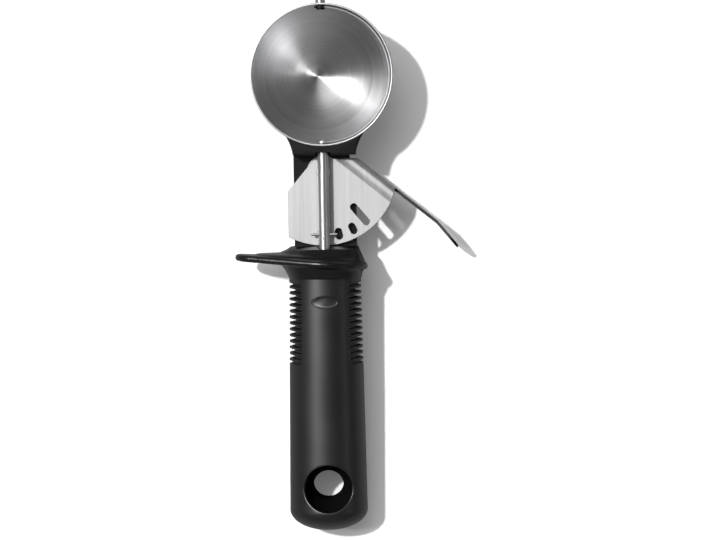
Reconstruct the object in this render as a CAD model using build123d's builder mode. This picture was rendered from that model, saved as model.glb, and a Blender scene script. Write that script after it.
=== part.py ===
from build123d import *

import os
from math import copysign, cos, pi, radians, sin, sqrt, tan

# Lever ice cream scoop: a spun bowl with a sprung swiper, turned by a thumb lever.
# Lengths are in millimetres and angles in degrees. The origin lies on the axis of the hang hole
# at the grip's mid-height, +Y runs to the bowl, +X to the thumb lever and +Z out of the bowl.

# Fits
running_clearance = 0.05
open_clearance = 0.25
seat_gap = 0.05

# Bowl
bowl_radius = 30.0
bowl_setback = 3.7
bowl_wall = 0.9
bowl_lip = 4.0
rim_round = 0.35

# Drive line
axis_z = 6.0
shaft_radius = 2.4
spigot_radius = 1.5
bush_wall = 0.65
rear_bush_length = 4.5
shaft_peen_radius = 2.1
peen_thickness = 0.6
cross_pin_radius = 0.5
cross_pin_reach = 5.5
cross_pin_stagger = 1.4

# Swiper
swiper_gap = 0.4
swiper_thickness = 0.6
swiper_width = 9.0
swiper_eye_radius = 2.7
swiper_droop = 8.5

# Far pivot of the swiper
stud_radius = 1.2
stud_head_radius = 2.1
stud_head_length = 2.4
stud_head_chamfer = 0.7
stud_peen_radius = 1.9
stud_peen_gap = 0.2
tip_washer_radius = 2.2
tip_washer_thickness = 0.2

# Sector plate of the thumb lever
sector_gap = 0.2
plate_top_z = 2.6
plate_thickness = 1.2
sector_radius = 31.2
plate_left = 15.1
plate_left_top = -8.0
plate_top_left = -3.7
plate_top = 5.5
slot_count = 3
slot_angle = 13.3
slot_depth = 4.2
slot_width = 2.9
slot_length = 4.9
long_slot_rim = 1.95
long_slot_length = 11.1

# Fold and thumb arm of the thumb lever
fold_angle = 38.8
fold_offset = 7.2
fold_reach = 6.1
fold_slope = 18.0
fold_round = 3.2
arm_rise = 2.0
arm_top_z = 1.0
arm_root_low_z = -8.0
arm_waist_low_z = -10.0
arm_step_at = 48.0
arm_bend_at = 51.5
arm_bend = 12.0
arm_bend_radius = 12.0
thumb_length = 13.5
thumb_top_z = 2.2
thumb_low_z = -15.5
thumb_corner = 5.0

# Pivot rivet and return spring
rivet_radius = 2.0
rivet_head_radius = 2.9
rivet_head_thickness = 0.6
rivet_washer_radius = 4.6
rivet_washer_thickness = 0.8
rivet_recess_radius = 5.2
rivet_recess_depth = 3.5
rivet_tail_radius = 3.0
rivet_tail_thickness = 1.2
thrust_washer_radius = 6.9
thrust_washer_thickness = 0.4
boss_radius = 7.1
post_radius = 3.7
pocket_radius = 6.0
pocket_depth = 7.0
spring_radius = 5.0
spring_wire = 0.9
spring_turns = 4.75
spring_pitch = 1.0
spring_foot = 3.4
foot_swing = 36.0
foot_swing_margin = 6.0

# Neck frame
neck_left = 12.6
neck_right = 13.8
neck_deck_z = -0.6
neck_bottom_z = -12.0
neck_round = 4.0
relief_x = 11.2
relief_drop = 3.0
collar_length = 10.0
collar_flare = 4.2
collar_hollow = 0.8
collar_top_z = 9.8
collar_round = 0.8
shaft_notch = 1.2
root_half_width = 10.5
root_top_z = -1.6
root_bottom_z = -9.6
block_half_width = 10.0
block_top_z = 10.2
block_bottom_z = -11.0
block_length = 7.0
block_overlap = 3.0
block_round = 3.5
tongue_half_width = 9.0
tongue_half_height = 6.0
tongue_length = 55.5
tongue_round = 1.0

# Tang that carries the bowl
tang_thickness = 1.2
tang_half_width = 8.0
tang_top_z = 0.5
tang_low_z = -11.0
tang_tongue_z = -7.0
tang_inset = 1.0

# Guard
guard_nose = 3.5
flange_rise = 6.2
flange_tilt = 4.7
flange_thickness = 3.0
flange_round = 1.4
flare_lead = 1.2
flare_root = 3.2
flare_middle = 2.3
flange_radius = 18.2
wing_reach = 29.6
wing_radius = 8.5
oval_power = 2.3
oval_points = 24

# The guard's ovals: reach to the left, right, top and bottom of the drive line's middle plane
front_oval = (14.4, 14.4, 3.8, 12.6)
nose_oval = (16.2, 14.7, 9.6, 12.9)
root_oval = (19.6, 16.3, 12.0, 13.4)
middle_oval = (28.5, 16.9, 13.2, 13.6)
flange_oval = (36.0, 17.3, 13.8, 13.8)
rear_oval = (15.4, 15.5, 14.1, 14.1)
rear_oval_front = (16.6, 16.1, 15.3, 15.3)
flange_oval_rear = (20.5, 17.0, 16.4, 16.4)

# Grip and core
grip_front_y = 88.5
grip_front_half_width = 15.2
grip_rear_half_width = 16.5
grip_half_thickness = 14.0
shoulder_share = 0.68
dome_y = -10.0
dome_length = 9.0
dome_steps = [0, 18, 34, 48, 60, 71, 80]
sleeve_wall = 3.4
rib_count = 13
rib_pitch = 2.55
rib_depth = 2.9
rib_crest = 1.0
rib_margin = 3.6
pad_margin = 9.6
pad_half_length = 5.4
pad_half_width = 2.6
pad_height = 0.3

# Hang hole
hole_radius = 6.45
funnel_radius = 10.0
funnel_top_z = 8.0
land_top_z = 0.5
eye_radius = 9.0

# Small fasteners
screw_radius = 1.25
screw_head_radius = 2.3
screw_head_thickness = 1.4
tang_screw_x = 5.5
tang_screw_inset = 2.4
tang_screw_length = 8.0
core_screw_places = [12.0, 40.0]
core_screw_length = 9.0
core_screw_sink = 0.6
dowel_radius = 1.0
dowel_length = 6.0
dowel_inset = 4.0
dowel_z = -4.0

# Places along the scoop, each carried by the one before, from the grip to the bowl
block_rear_y = grip_front_y + block_overlap
block_front_y = block_rear_y + block_length
flange_y = grip_front_y + flange_rise
guard_front_y = block_front_y + guard_nose
pivot_y = guard_front_y + sector_gap + sector_radius
collar_y = pivot_y + boss_radius
collar_end_y = collar_y + collar_length
bowl_y = collar_y + bowl_setback + bowl_radius
tang_tongue_y = collar_y + tang_inset
tang_screw_y = tang_tongue_y + tang_screw_inset
tongue_end_y = block_rear_y - tongue_length
core_screw_y = [tongue_end_y + place for place in core_screw_places]
dowel_y = block_rear_y + dowel_inset
first_rib_y = grip_front_y - rib_margin - (rib_count - 1) * rib_pitch
pad_y = grip_front_y - pad_margin

# Sizes that follow from the ones above
slot_radius = sector_radius - slot_depth
long_slot_outer = sector_radius - long_slot_rim
long_slot_inner = long_slot_outer - long_slot_length
bowl_inner = bowl_radius - bowl_wall
rim_z = axis_z + bowl_lip
swiper_outer = bowl_inner - swiper_gap
swiper_inner = swiper_outer - swiper_thickness
bush_bore = shaft_radius + running_clearance
bush_radius = bush_bore + bush_wall
plate_bottom_z = plate_top_z - plate_thickness
thrust_washer_z = plate_bottom_z - thrust_washer_thickness
boss_z = thrust_washer_z - seat_gap
pocket_floor_z = boss_z - pocket_depth
recess_z = neck_bottom_z + rivet_recess_depth
rear_bush_y = block_front_y - rear_bush_length
clear_of_all = 100.0

# The lever's frame: along the fold to the thumb, across it away from the pivot
fold_along = Vector(cos(radians(fold_angle)), -sin(radians(fold_angle)), 0)
fold_across = Vector(sin(radians(fold_angle)), cos(radians(fold_angle)), 0)
pivot = Vector(0, pivot_y, 0)
fold_plan = Plane(origin=pivot, x_dir=fold_along, z_dir=(0, 0, 1))
fold_side = Plane(origin=pivot, x_dir=fold_along, z_dir=-fold_across)
fold_section = Plane(origin=pivot, x_dir=fold_across, z_dir=fold_along)

# The guard's flange leans, with its long wing nearer the bowl
tilt = radians(flange_tilt)
flange_plane = Plane(
    origin=(0, flange_y, 0),
    x_dir=(cos(tilt), -sin(tilt), 0),
    z_dir=(-sin(tilt), -cos(tilt), 0),
)


def across(y):
    """The plane square to the long axis at y, with X to the right and Z up."""
    return Plane.XZ.offset(-y)


def level(z):
    """The horizontal plane at height z."""
    return Plane.XY.offset(z)


def rod(radius, start_y, end_y):
    """A round bar on the drive axis."""
    with BuildPart() as bar:
        with BuildSketch(across(start_y)):
            with Locations((0, axis_z)):
                Circle(radius)
        extrude(amount=start_y - end_y)
    return bar.part


def at_pivot(z):
    """The horizontal plane at height z with its origin on the lever's pivot."""
    return Plane(origin=(0, pivot_y, z))


def disc(radius, low_z, high_z, x=0.0, y=pivot_y):
    """An upright round bar, on the lever's pivot unless placed elsewhere."""
    with BuildPart() as bar:
        with BuildSketch(level(low_z)):
            with Locations((x, y)):
                Circle(radius)
        extrude(amount=high_z - low_z)
    return bar.part


def cup(radius):
    """The filled shape of the bowl at one radius: a half ball with a short straight lip."""
    with BuildPart() as body:
        with BuildSketch(across(bowl_y)):
            with BuildLine():
                CenterArc((0, axis_z), radius, -90, 90)
                Polyline((radius, axis_z), (radius, rim_z), (0, rim_z), (0, axis_z - radius))
            make_face()
        revolve(axis=Axis((0, bowl_y, 0), (0, 0, 1)))
    return body.part


def ball(radius):
    """A ball on the bowl's centre."""
    with BuildPart() as body:
        with Locations((0, bowl_y, axis_z)):
            Sphere(radius)
    return body.part


def cross_pin(plane, place):
    """A pin through the shaft, centred on the drive axis."""
    with BuildPart() as pin:
        with BuildSketch(plane):
            with Locations(place):
                Circle(cross_pin_radius)
        extrude(amount=cross_pin_reach, both=True)
    return pin.part


def half_width(y):
    """Half the grip's width at y: a straight taper from the butt to the guard."""
    share = (y - dome_y) / (grip_front_y - dome_y)
    return grip_rear_half_width + share * (grip_front_half_width - grip_rear_half_width)


def grip_section(y, inset=0.0, squeeze=1.0, notch=0.0):
    """The oval of the grip at y, as four arcs; a notch draws the two side arcs in."""
    side = (half_width(max(y, dome_y)) - inset) * squeeze
    crown = (grip_half_thickness - inset) * squeeze
    x = shoulder_share * side
    z = crown * sqrt(1 - shoulder_share**2)
    with BuildSketch(across(y)) as section:
        with BuildLine():
            ThreePointArc((-x, z), (0, crown), (x, z))
            ThreePointArc((x, z), (side - notch, 0), (x, -z))
            ThreePointArc((x, -z), (0, -crown), (-x, -z))
            ThreePointArc((-x, -z), (notch - side, 0), (-x, z))
        make_face()
    return section.sketch


def rib_sections():
    """The grip's sections over the ribbed stretch: full crests between drawn-in valleys."""
    sections = []
    for i in range(-1, rib_count + 1):
        crest_y = first_rib_y + i * rib_pitch
        sections.append(grip_section(crest_y - rib_crest / 2))
        sections.append(grip_section(crest_y + rib_crest / 2))
        if i < rib_count:
            sections.append(grip_section(crest_y + rib_pitch / 2, notch=rib_depth))
    return sections


def grip_body(front_y, inset=0.0, ribs=()):
    """The tapered grip with its domed butt, drawn in by inset all round."""
    dome = []
    for step in dome_steps:
        y = dome_y - (dome_length - inset) * sin(radians(step))
        dome.append(grip_section(y, inset, cos(radians(step))))
    with BuildPart() as body:
        loft([grip_section(dome_y, inset), *ribs, grip_section(front_y, inset)], ruled=True)
        loft(dome)
    return body.part


def hang_hole():
    """The tool for the hang hole: a wide mouth above, a funnel, and a straight land below."""
    with BuildPart() as tool:
        with BuildSketch(Plane.XZ):
            with BuildLine():
                Polyline(
                    (0, -clear_of_all),
                    (hole_radius, -clear_of_all),
                    (hole_radius, land_top_z),
                    (funnel_radius, funnel_top_z),
                    (funnel_radius, clear_of_all),
                    (0, clear_of_all),
                    close=True,
                )
            make_face()
        revolve(axis=Axis.Z)
    return tool.part


def neck_block(start_y, end_y, half, bottom_z, top_z, corner, slack):
    """One rounded block of the neck's hidden end, from start_y back to end_y."""
    with BuildPart() as block:
        with BuildSketch(across(start_y + slack)):
            with Locations((0, (top_z + bottom_z) / 2)):
                RectangleRounded(2 * (half + slack), top_z - bottom_z + 2 * slack, corner)
        extrude(amount=start_y - end_y + 2 * slack)
    return block.part


def neck_root(slack=0.0):
    """The neck inside guard and core: root, block and tongue; slack grows it for its seats."""
    with BuildPart() as root:
        add(neck_block(guard_front_y, block_front_y, root_half_width,
                       root_bottom_z, root_top_z, block_round, slack))
        add(neck_block(block_front_y, block_rear_y, block_half_width,
                       block_bottom_z, block_top_z, block_round, slack))
        add(neck_block(block_rear_y, tongue_end_y, tongue_half_width,
                       -tongue_half_height, tongue_half_height, tongue_round, slack))
    return root.part


def tang_blank(slack=0.0):
    """The saddle behind the bowl with its flat tongue; slack grows it for its seat."""
    with BuildPart() as blank:
        add(ball(bowl_radius + tang_thickness + slack))
        with BuildSketch(level(tang_low_z - slack)):
            with Locations((0, bowl_y - clear_of_all / 2)):
                Rectangle(2 * (tang_half_width + slack), clear_of_all)
        extrude(amount=tang_top_z - tang_low_z + 2 * slack, mode=Mode.INTERSECT)
        with BuildSketch(level(tang_tongue_z - slack)):
            with Locations((0, (tang_tongue_y - slack + bowl_y) / 2)):
                Rectangle(2 * (tang_half_width + slack), bowl_y - tang_tongue_y + slack)
        extrude(amount=tang_thickness + 2 * slack)
        add(ball(bowl_radius), mode=Mode.SUBTRACT)
    return blank.part


def pan_screw(x, y, head_z, length, slack=0.0):
    """A pan head screw that points up from head_z; slack opens the hole for its head."""
    with BuildPart() as screw:
        add(disc(screw_head_radius + slack, head_z, head_z + screw_head_thickness, x, y))
        add(disc(screw_radius, head_z, head_z + screw_head_thickness + length, x, y))
        if slack:
            add(disc(screw_head_radius + slack, -clear_of_all, head_z, x, y))
    return screw.part


def tang_screw_pair(slack=0.0):
    """The two screws under the collar."""
    with BuildPart() as pair:
        for x in (-tang_screw_x, tang_screw_x):
            add(pan_screw(x, tang_screw_y, neck_bottom_z, tang_screw_length, slack))
    return pair.part


def core_screw_row(slack=0.0):
    """The screws that hold the neck's tongue in the core."""
    head_z = core_screw_sink + sleeve_wall - grip_half_thickness
    with BuildPart() as row:
        for y in core_screw_y:
            add(pan_screw(0, y, head_z, core_screw_length, slack))
    return row.part


def dowel_pair():
    """Two dowels that key the guard to the neck's block, half in each."""
    with BuildPart() as pair:
        for side in (-1, 1):
            with BuildSketch(Plane.YZ.offset(side * block_half_width)):
                with Locations((dowel_y, dowel_z)):
                    Circle(dowel_radius)
            extrude(amount=dowel_length / 2, both=True)
    return pair.part


def oval(plane, left, right, top, bottom):
    """A smooth oval, squarer than an ellipse, with its own reach to each side."""
    points = []
    for i in range(oval_points):
        turn = 2 * pi * i / oval_points
        x = copysign(abs(cos(turn)) ** (2 / oval_power), cos(turn))
        z = copysign(abs(sin(turn)) ** (2 / oval_power), sin(turn))
        points.append((x * (right if x > 0 else left), z * (top if z > 0 else bottom)))
    with BuildSketch(plane) as section:
        with BuildLine():
            Spline(*points, periodic=True)
        make_face()
    return section.sketch


os.makedirs("parts", exist_ok=True)

# Bowl: half ball with a straight lip, open above, with holes for the front bush and the stud
with BuildPart() as bowl:
    add(cup(bowl_radius))
    add(cup(bowl_inner), mode=Mode.SUBTRACT)
    fillet(bowl.faces().sort_by(Axis.Z)[-1].edges(), rim_round)
    add(rod(bush_radius, collar_y, bowl_y), mode=Mode.SUBTRACT)
    add(rod(stud_radius, bowl_y, bowl_y + clear_of_all), mode=Mode.SUBTRACT)
bowl.part.label = "bowl"
export_step(bowl.part, "parts/bowl.step")

# Tang: saddle welded behind the bowl, with a tongue that is screwed into the collar
with BuildPart() as bowl_tang:
    add(tang_blank())
    add(tang_screw_pair(), mode=Mode.SUBTRACT)
bowl_tang.part.label = "bowl_tang"
export_step(bowl_tang.part, "parts/bowl_tang.step")

with BuildPart() as tang_screws:
    add(tang_screw_pair())
tang_screws.part.label = "tang_screws"
export_step(tang_screws.part, "parts/tang_screws.step")

# Swiper: a strip of a ball just inside the bowl, with a round eye on the drive axis at each end
droop = radians(swiper_droop)
swiper_plane = Plane(
    origin=(0, bowl_y, axis_z),
    x_dir=(0, 1, 0),
    z_dir=(cos(droop), 0, -sin(droop)),
)
with BuildPart() as swiper:
    with BuildSketch(swiper_plane):
        with BuildLine():
            for side in (-1, 1):
                ThreePointArc(
                    (-bowl_radius, side * swiper_eye_radius),
                    (0, side * swiper_width / 2),
                    (bowl_radius, side * swiper_eye_radius),
                )
                Line(
                    (side * bowl_radius, -swiper_eye_radius),
                    (side * bowl_radius, swiper_eye_radius),
                )
        make_face()
    extrude(amount=bowl_radius)
    add(rod(swiper_eye_radius, bowl_y - bowl_radius, bowl_y + bowl_radius))
    add(ball(swiper_outer), mode=Mode.INTERSECT)
    add(ball(swiper_inner), mode=Mode.SUBTRACT)
    add(rod(spigot_radius, bowl_y - bowl_radius, bowl_y), mode=Mode.SUBTRACT)
    add(rod(stud_radius + running_clearance, bowl_y, bowl_y + bowl_radius), mode=Mode.SUBTRACT)
swiper.part.label = "swiper"
export_step(swiper.part, "parts/swiper.step")

# Far pivot: a stud headed outside the bowl and peened inside the swiper's eye
stud_peen_y = bowl_y + sqrt(swiper_inner**2 - stud_peen_radius**2) - stud_peen_gap
with BuildPart() as tip_pivot:
    add(rod(stud_head_radius, bowl_y + bowl_radius, bowl_y + bowl_radius + stud_head_length))
    chamfer(tip_pivot.faces().sort_by(Axis.Y)[-1].edges(), stud_head_chamfer)
    add(rod(stud_radius, stud_peen_y, bowl_y + bowl_radius))
    add(rod(stud_peen_radius, stud_peen_y - peen_thickness, stud_peen_y))
tip_pivot.part.label = "tip_pivot"
export_step(tip_pivot.part, "parts/tip_pivot.step")

tip_washer_y = bowl_y + sqrt(bowl_inner**2 - tip_washer_radius**2) - seat_gap
with BuildPart() as tip_washer:
    add(rod(tip_washer_radius, tip_washer_y - tip_washer_thickness, tip_washer_y))
    add(rod(stud_radius, tip_washer_y - tip_washer_thickness, tip_washer_y), mode=Mode.SUBTRACT)
tip_washer.part.label = "tip_washer"
export_step(tip_washer.part, "parts/tip_washer.step")

# Cross pins: square to each other, so that one of four tips is always next to meet a slot
pins_y = pivot_y - slot_radius
front_pin = cross_pin(Plane.YZ, (pins_y + cross_pin_stagger / 2, axis_z))
rear_pin = cross_pin(level(axis_z), (0, pins_y - cross_pin_stagger / 2))
with BuildPart() as cross_pin_front:
    add(front_pin)
cross_pin_front.part.label = "cross_pin_front"
export_step(cross_pin_front.part, "parts/cross_pin_front.step")

with BuildPart() as cross_pin_rear:
    add(rear_pin)
cross_pin_rear.part.label = "cross_pin_rear"
export_step(cross_pin_rear.part, "parts/cross_pin_rear.step")

# Drive shaft: a plain bar with a spigot through the swiper's near eye, peened inside it
shaft_end_y = rear_bush_y + open_clearance
shoulder_y = bowl_y - swiper_outer - seat_gap
shaft_peen_y = bowl_y - sqrt(swiper_inner**2 - shaft_peen_radius**2) + seat_gap
with BuildPart() as drive_shaft:
    add(rod(shaft_radius, shaft_end_y, shoulder_y))
    add(rod(spigot_radius, shoulder_y, shaft_peen_y))
    add(rod(shaft_peen_radius, shaft_peen_y, shaft_peen_y + peen_thickness))
    add(front_pin, mode=Mode.SUBTRACT)
    add(rear_pin, mode=Mode.SUBTRACT)
drive_shaft.part.label = "drive_shaft"
export_step(drive_shaft.part, "parts/drive_shaft.step")

# Bushes: the front one runs through the collar into the bowl's wall, the rear one is blind
front_bush_y = collar_y + shaft_notch
front_bush_end_y = bowl_y - bowl_inner - 2 * seat_gap
with BuildPart() as front_bush:
    add(rod(bush_radius, front_bush_y, front_bush_end_y))
    add(rod(bush_bore, front_bush_y, front_bush_end_y), mode=Mode.SUBTRACT)
front_bush.part.label = "front_bush"
export_step(front_bush.part, "parts/front_bush.step")

with BuildPart() as rear_bush:
    add(rod(bush_radius, rear_bush_y, block_front_y))
    add(rod(bush_bore, rear_bush_y, block_front_y), mode=Mode.SUBTRACT)
rear_bush.part.label = "rear_bush"
export_step(rear_bush.part, "parts/rear_bush.step")

# Thumb lever: slotted sector plate, folded over along its right edge into the thumb arm
fold_outer = fold_offset + fold_reach
fold_inner = fold_outer - plate_thickness
slope_fall = tan(radians(fold_slope))
fold_top_z = plate_top_z - fold_reach * slope_fall
fold_under_z = plate_bottom_z - (fold_reach - plate_thickness) * slope_fall
fold_low_z = fold_top_z - fold_round * tan(radians(45 - fold_slope / 2)) - seat_gap
fold_start = (fold_across.Y * fold_outer - plate_top) / -fold_along.Y
fold_end = sqrt(sector_radius**2 - fold_outer**2)
arm_middle = fold_outer - plate_thickness / 2
thumb_along = arm_bend_at + thumb_length * cos(radians(arm_bend))
thumb_across = arm_middle - thumb_length * sin(radians(arm_bend))
crease_start = fold_across * fold_offset
crease_start += fold_along * ((crease_start.Y - plate_top) / -fold_along.Y)
crease_end = crease_start + fold_along * sector_radius
leg_hole_radius = spring_wire / 2 + running_clearance

with BuildPart() as plate:
    with BuildSketch(at_pivot(plate_bottom_z)):
        with BuildLine():
            Polyline(
                (crease_end.X, crease_end.Y),
                (crease_start.X, crease_start.Y),
                (plate_top_left, plate_top),
                (-plate_left, plate_left_top),
                (-plate_left, -sector_radius),
                (crease_end.X, -sector_radius),
                close=True,
            )
        make_face()
        Circle(sector_radius, mode=Mode.INTERSECT)
        Circle(rivet_radius + running_clearance, mode=Mode.SUBTRACT)
        with Locations((0, -spring_radius)):
            Circle(leg_hole_radius, mode=Mode.SUBTRACT)
        with PolarLocations(slot_radius, slot_count, -90, slot_angle * (slot_count - 1), endpoint=True):
            SlotOverall(slot_length, slot_width, mode=Mode.SUBTRACT)
        with PolarLocations((long_slot_inner + long_slot_outer) / 2, 1, slot_angle * slot_count - 90):
            SlotOverall(long_slot_outer - long_slot_inner, slot_width, mode=Mode.SUBTRACT)
    extrude(amount=plate_thickness)

with BuildPart() as fold:
    with BuildSketch(fold_section) as fold_outline:
        with BuildLine():
            Polyline(
                (fold_offset, plate_bottom_z),
                (fold_offset, plate_top_z),
                (fold_outer, fold_top_z),
                (fold_outer, fold_low_z),
                (fold_inner, fold_low_z),
                (fold_inner, fold_under_z),
                close=True,
            )
        make_face()
        outer_corner = fold_outline.vertices().sort_by_distance((fold_outer, fold_top_z))[0]
        fillet(outer_corner, fold_round)
        inner_corner = fold_outline.vertices().sort_by_distance((fold_inner, fold_under_z))[0]
        fillet(inner_corner, fold_round - plate_thickness)
    extrude(amount=sector_radius, both=True)
    with BuildSketch(at_pivot(-clear_of_all)):
        Circle(sector_radius)
        with Locations((0, plate_top - sector_radius)):
            Rectangle(2 * sector_radius, 2 * sector_radius, mode=Mode.INTERSECT)
    extrude(amount=2 * clear_of_all, mode=Mode.INTERSECT)

with BuildPart() as thumb_arm:
    with BuildSketch(fold_plan.offset(-clear_of_all)):
        with BuildLine():
            FilletPolyline(
                (fold_start, arm_middle),
                (arm_bend_at, arm_middle),
                (thumb_along, thumb_across),
                radius=arm_bend_radius,
            )
        trace(line_width=plate_thickness)
    extrude(amount=2 * clear_of_all)
    with BuildSketch(fold_side) as arm_outline:
        with BuildLine():
            Polyline(
                (fold_start, fold_low_z),
                (fold_end, fold_low_z),
                (fold_end + arm_rise, arm_top_z),
                (arm_step_at, arm_top_z),
                (thumb_along, thumb_top_z),
                (thumb_along, thumb_low_z),
                (arm_step_at, thumb_low_z),
                (fold_end + arm_rise, arm_waist_low_z),
                (fold_start, arm_root_low_z),
                close=True,
            )
        make_face()
        fillet(arm_outline.vertices().group_by(Axis.X)[-1], thumb_corner)
    extrude(amount=clear_of_all, both=True, mode=Mode.INTERSECT)

with BuildPart() as thumb_lever:
    add(plate.part)
    add(fold.part)
    add(thumb_arm.part)
thumb_lever.part.label = "thumb_lever"
export_step(thumb_lever.part, "parts/thumb_lever.step")

# Thrust washer: rides under the plate on the neck's boss
with BuildPart() as thrust_washer:
    with BuildSketch(at_pivot(thrust_washer_z)):
        Circle(thrust_washer_radius)
        Circle(rivet_radius + running_clearance, mode=Mode.SUBTRACT)
        with Locations((0, -spring_radius)):
            Circle(leg_hole_radius, mode=Mode.SUBTRACT)
    extrude(amount=thrust_washer_thickness)
thrust_washer.part.label = "thrust_washer"
export_step(thrust_washer.part, "parts/thrust_washer.step")

# Return spring: a coil round the post, with a leg up into the plate and a foot in the neck
coil_z = pocket_floor_z + spring_wire / 2 + seat_gap
coil_height = spring_turns * spring_pitch
with BuildPart() as return_spring:
    with BuildLine() as coil:
        Helix(spring_pitch, coil_height, spring_radius, center=(0, pivot_y, coil_z))
    with BuildSketch(Plane(origin=coil.line @ 0, z_dir=coil.line % 0)):
        Circle(spring_wire / 2)
    sweep(is_frenet=True)
    add(disc(spring_wire / 2, coil_z + coil_height, plate_top_z - seat_gap, 0, pivot_y - spring_radius))
    with BuildSketch(Plane.YZ.offset(spring_radius)):
        with Locations((pivot_y, coil_z)):
            Circle(spring_wire / 2)
    extrude(amount=spring_foot)
return_spring.part.label = "return_spring"
export_step(return_spring.part, "parts/return_spring.step")

# Pivot rivet: headed over the plate and formed over a washer in the neck's underside
washer_low_z = recess_z - rivet_washer_thickness
rivet_head_z = plate_top_z + seat_gap
with BuildPart() as rivet_washer:
    add(disc(rivet_washer_radius, washer_low_z, recess_z))
    add(disc(rivet_radius, washer_low_z, recess_z), mode=Mode.SUBTRACT)
rivet_washer.part.label = "rivet_washer"
export_step(rivet_washer.part, "parts/rivet_washer.step")

with BuildPart() as pivot_rivet:
    add(disc(rivet_tail_radius, washer_low_z - rivet_tail_thickness, washer_low_z))
    add(disc(rivet_radius, washer_low_z, rivet_head_z))
    add(disc(rivet_head_radius, rivet_head_z, rivet_head_z + rivet_head_thickness))
    fillet(pivot_rivet.faces().sort_by(Axis.Z)[-1].edges(), rivet_head_thickness / 2)
pivot_rivet.part.label = "pivot_rivet"
export_step(pivot_rivet.part, "parts/pivot_rivet.step")

# Neck frame: bar with a boss for the lever, a flared collar behind the bowl, and the hidden root
with BuildPart() as collar:
    with BuildSketch(level(neck_bottom_z)):
        with BuildLine():
            for side, reach in ((-1, neck_left), (1, neck_right)):
                ThreePointArc(
                    (side * reach, collar_y),
                    (side * (reach + collar_flare / 2 - collar_hollow), collar_y + collar_length / 2),
                    (side * (reach + collar_flare), collar_end_y),
                )
            Line((-neck_left, collar_y), (neck_right, collar_y))
            Line((-neck_left - collar_flare, collar_end_y), (neck_right + collar_flare, collar_end_y))
        make_face()
    extrude(amount=collar_top_z - neck_bottom_z)
    fillet(collar.faces().sort_by(Axis.Z)[-1].edges(), collar_round)

with BuildPart() as neck_frame:
    with BuildSketch(across(guard_front_y)) as neck_outline:
        with Locations(((neck_right - neck_left) / 2, (neck_deck_z + neck_bottom_z) / 2)):
            Rectangle(neck_right + neck_left, neck_deck_z - neck_bottom_z)
        fillet(neck_outline.vertices().group_by(Axis.Y)[0], neck_round)
    extrude(amount=guard_front_y - collar_end_y)
    with BuildSketch(at_pivot(-clear_of_all)) as relief:
        with Locations((relief_x + clear_of_all / 2, clear_of_all / 2 - relief_drop)):
            Rectangle(clear_of_all, clear_of_all)
    extrude(amount=2 * clear_of_all, mode=Mode.SUBTRACT)
    add(collar.part)
    add(neck_root())
    add(disc(boss_radius, recess_z, boss_z))
    add(cup(bowl_radius + seat_gap), mode=Mode.SUBTRACT)
    add(tang_blank(seat_gap), mode=Mode.SUBTRACT)
    add(tang_screw_pair(open_clearance), mode=Mode.SUBTRACT)
    add(core_screw_row(), mode=Mode.SUBTRACT)
    add(dowel_pair(), mode=Mode.SUBTRACT)
    # The drive line: blind bore at the rear, bore and open notch at the front
    add(rod(bush_radius, rear_bush_y, block_front_y), mode=Mode.SUBTRACT)
    add(rod(bush_radius, collar_y, collar_end_y), mode=Mode.SUBTRACT)
    with BuildSketch(level(axis_z)):
        with Locations((0, collar_y + shaft_notch / 2)):
            Rectangle(2 * bush_radius, shaft_notch)
    extrude(amount=clear_of_all, mode=Mode.SUBTRACT)
    # The pivot: spring pocket round a post, sector groove for the foot, and recess below
    with BuildSketch(at_pivot(pocket_floor_z)):
        Circle(pocket_radius)
        Circle(post_radius, mode=Mode.SUBTRACT)
    extrude(amount=pocket_depth, mode=Mode.SUBTRACT)
    with BuildSketch(at_pivot(pocket_floor_z)):
        foot_end = spring_radius + spring_foot + open_clearance
        with BuildLine():
            CenterArc((0, 0), foot_end, foot_swing_margin - foot_swing, foot_swing)
            CenterArc((0, 0), spring_radius, foot_swing_margin - foot_swing, foot_swing)
        make_hull()
    extrude(amount=spring_wire + 2 * open_clearance, mode=Mode.SUBTRACT)
    add(disc(rivet_radius + running_clearance, neck_bottom_z, boss_z), mode=Mode.SUBTRACT)
    add(disc(rivet_recess_radius, neck_bottom_z, recess_z), mode=Mode.SUBTRACT)
neck_frame.part.label = "neck_frame"
export_step(neck_frame.part, "parts/neck_frame.step")

# Guard: leaning flange with a long wing to the left, flared to the neck and to the grip
front_ovals = [
    oval(across(guard_front_y), *front_oval),
    oval(across(guard_front_y - flare_lead), *nose_oval),
    oval(flange_plane.offset(-flare_root), *root_oval),
    oval(flange_plane.offset(-flare_middle), *middle_oval),
    oval(flange_plane, *flange_oval),
]
rear_ovals = [
    oval(across(grip_front_y), *rear_oval),
    oval(across(block_rear_y), *rear_oval_front),
    oval(flange_plane, *flange_oval_rear),
]
with BuildPart() as guard:
    with BuildSketch(flange_plane):
        Circle(flange_radius)
        with Locations((-wing_reach, 0)):
            Circle(wing_radius)
        make_hull()
    extrude(amount=flange_thickness / 2, both=True)
    fillet(guard.edges().filter_by(lambda edge: edge.length > wing_radius), flange_round)
    loft(front_ovals, ruled=True)
    loft(rear_ovals)
    add(neck_root(seat_gap), mode=Mode.SUBTRACT)
    add(grip_body(block_rear_y, sleeve_wall), mode=Mode.SUBTRACT)
    add(rod(bush_bore + open_clearance, block_front_y, guard_front_y), mode=Mode.SUBTRACT)
    add(dowel_pair(), mode=Mode.SUBTRACT)
guard.part.label = "guard"
export_step(guard.part, "parts/guard.step")

with BuildPart() as guard_pins:
    add(dowel_pair())
guard_pins.part.label = "guard_pins"
export_step(guard_pins.part, "parts/guard_pins.step")

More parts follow.
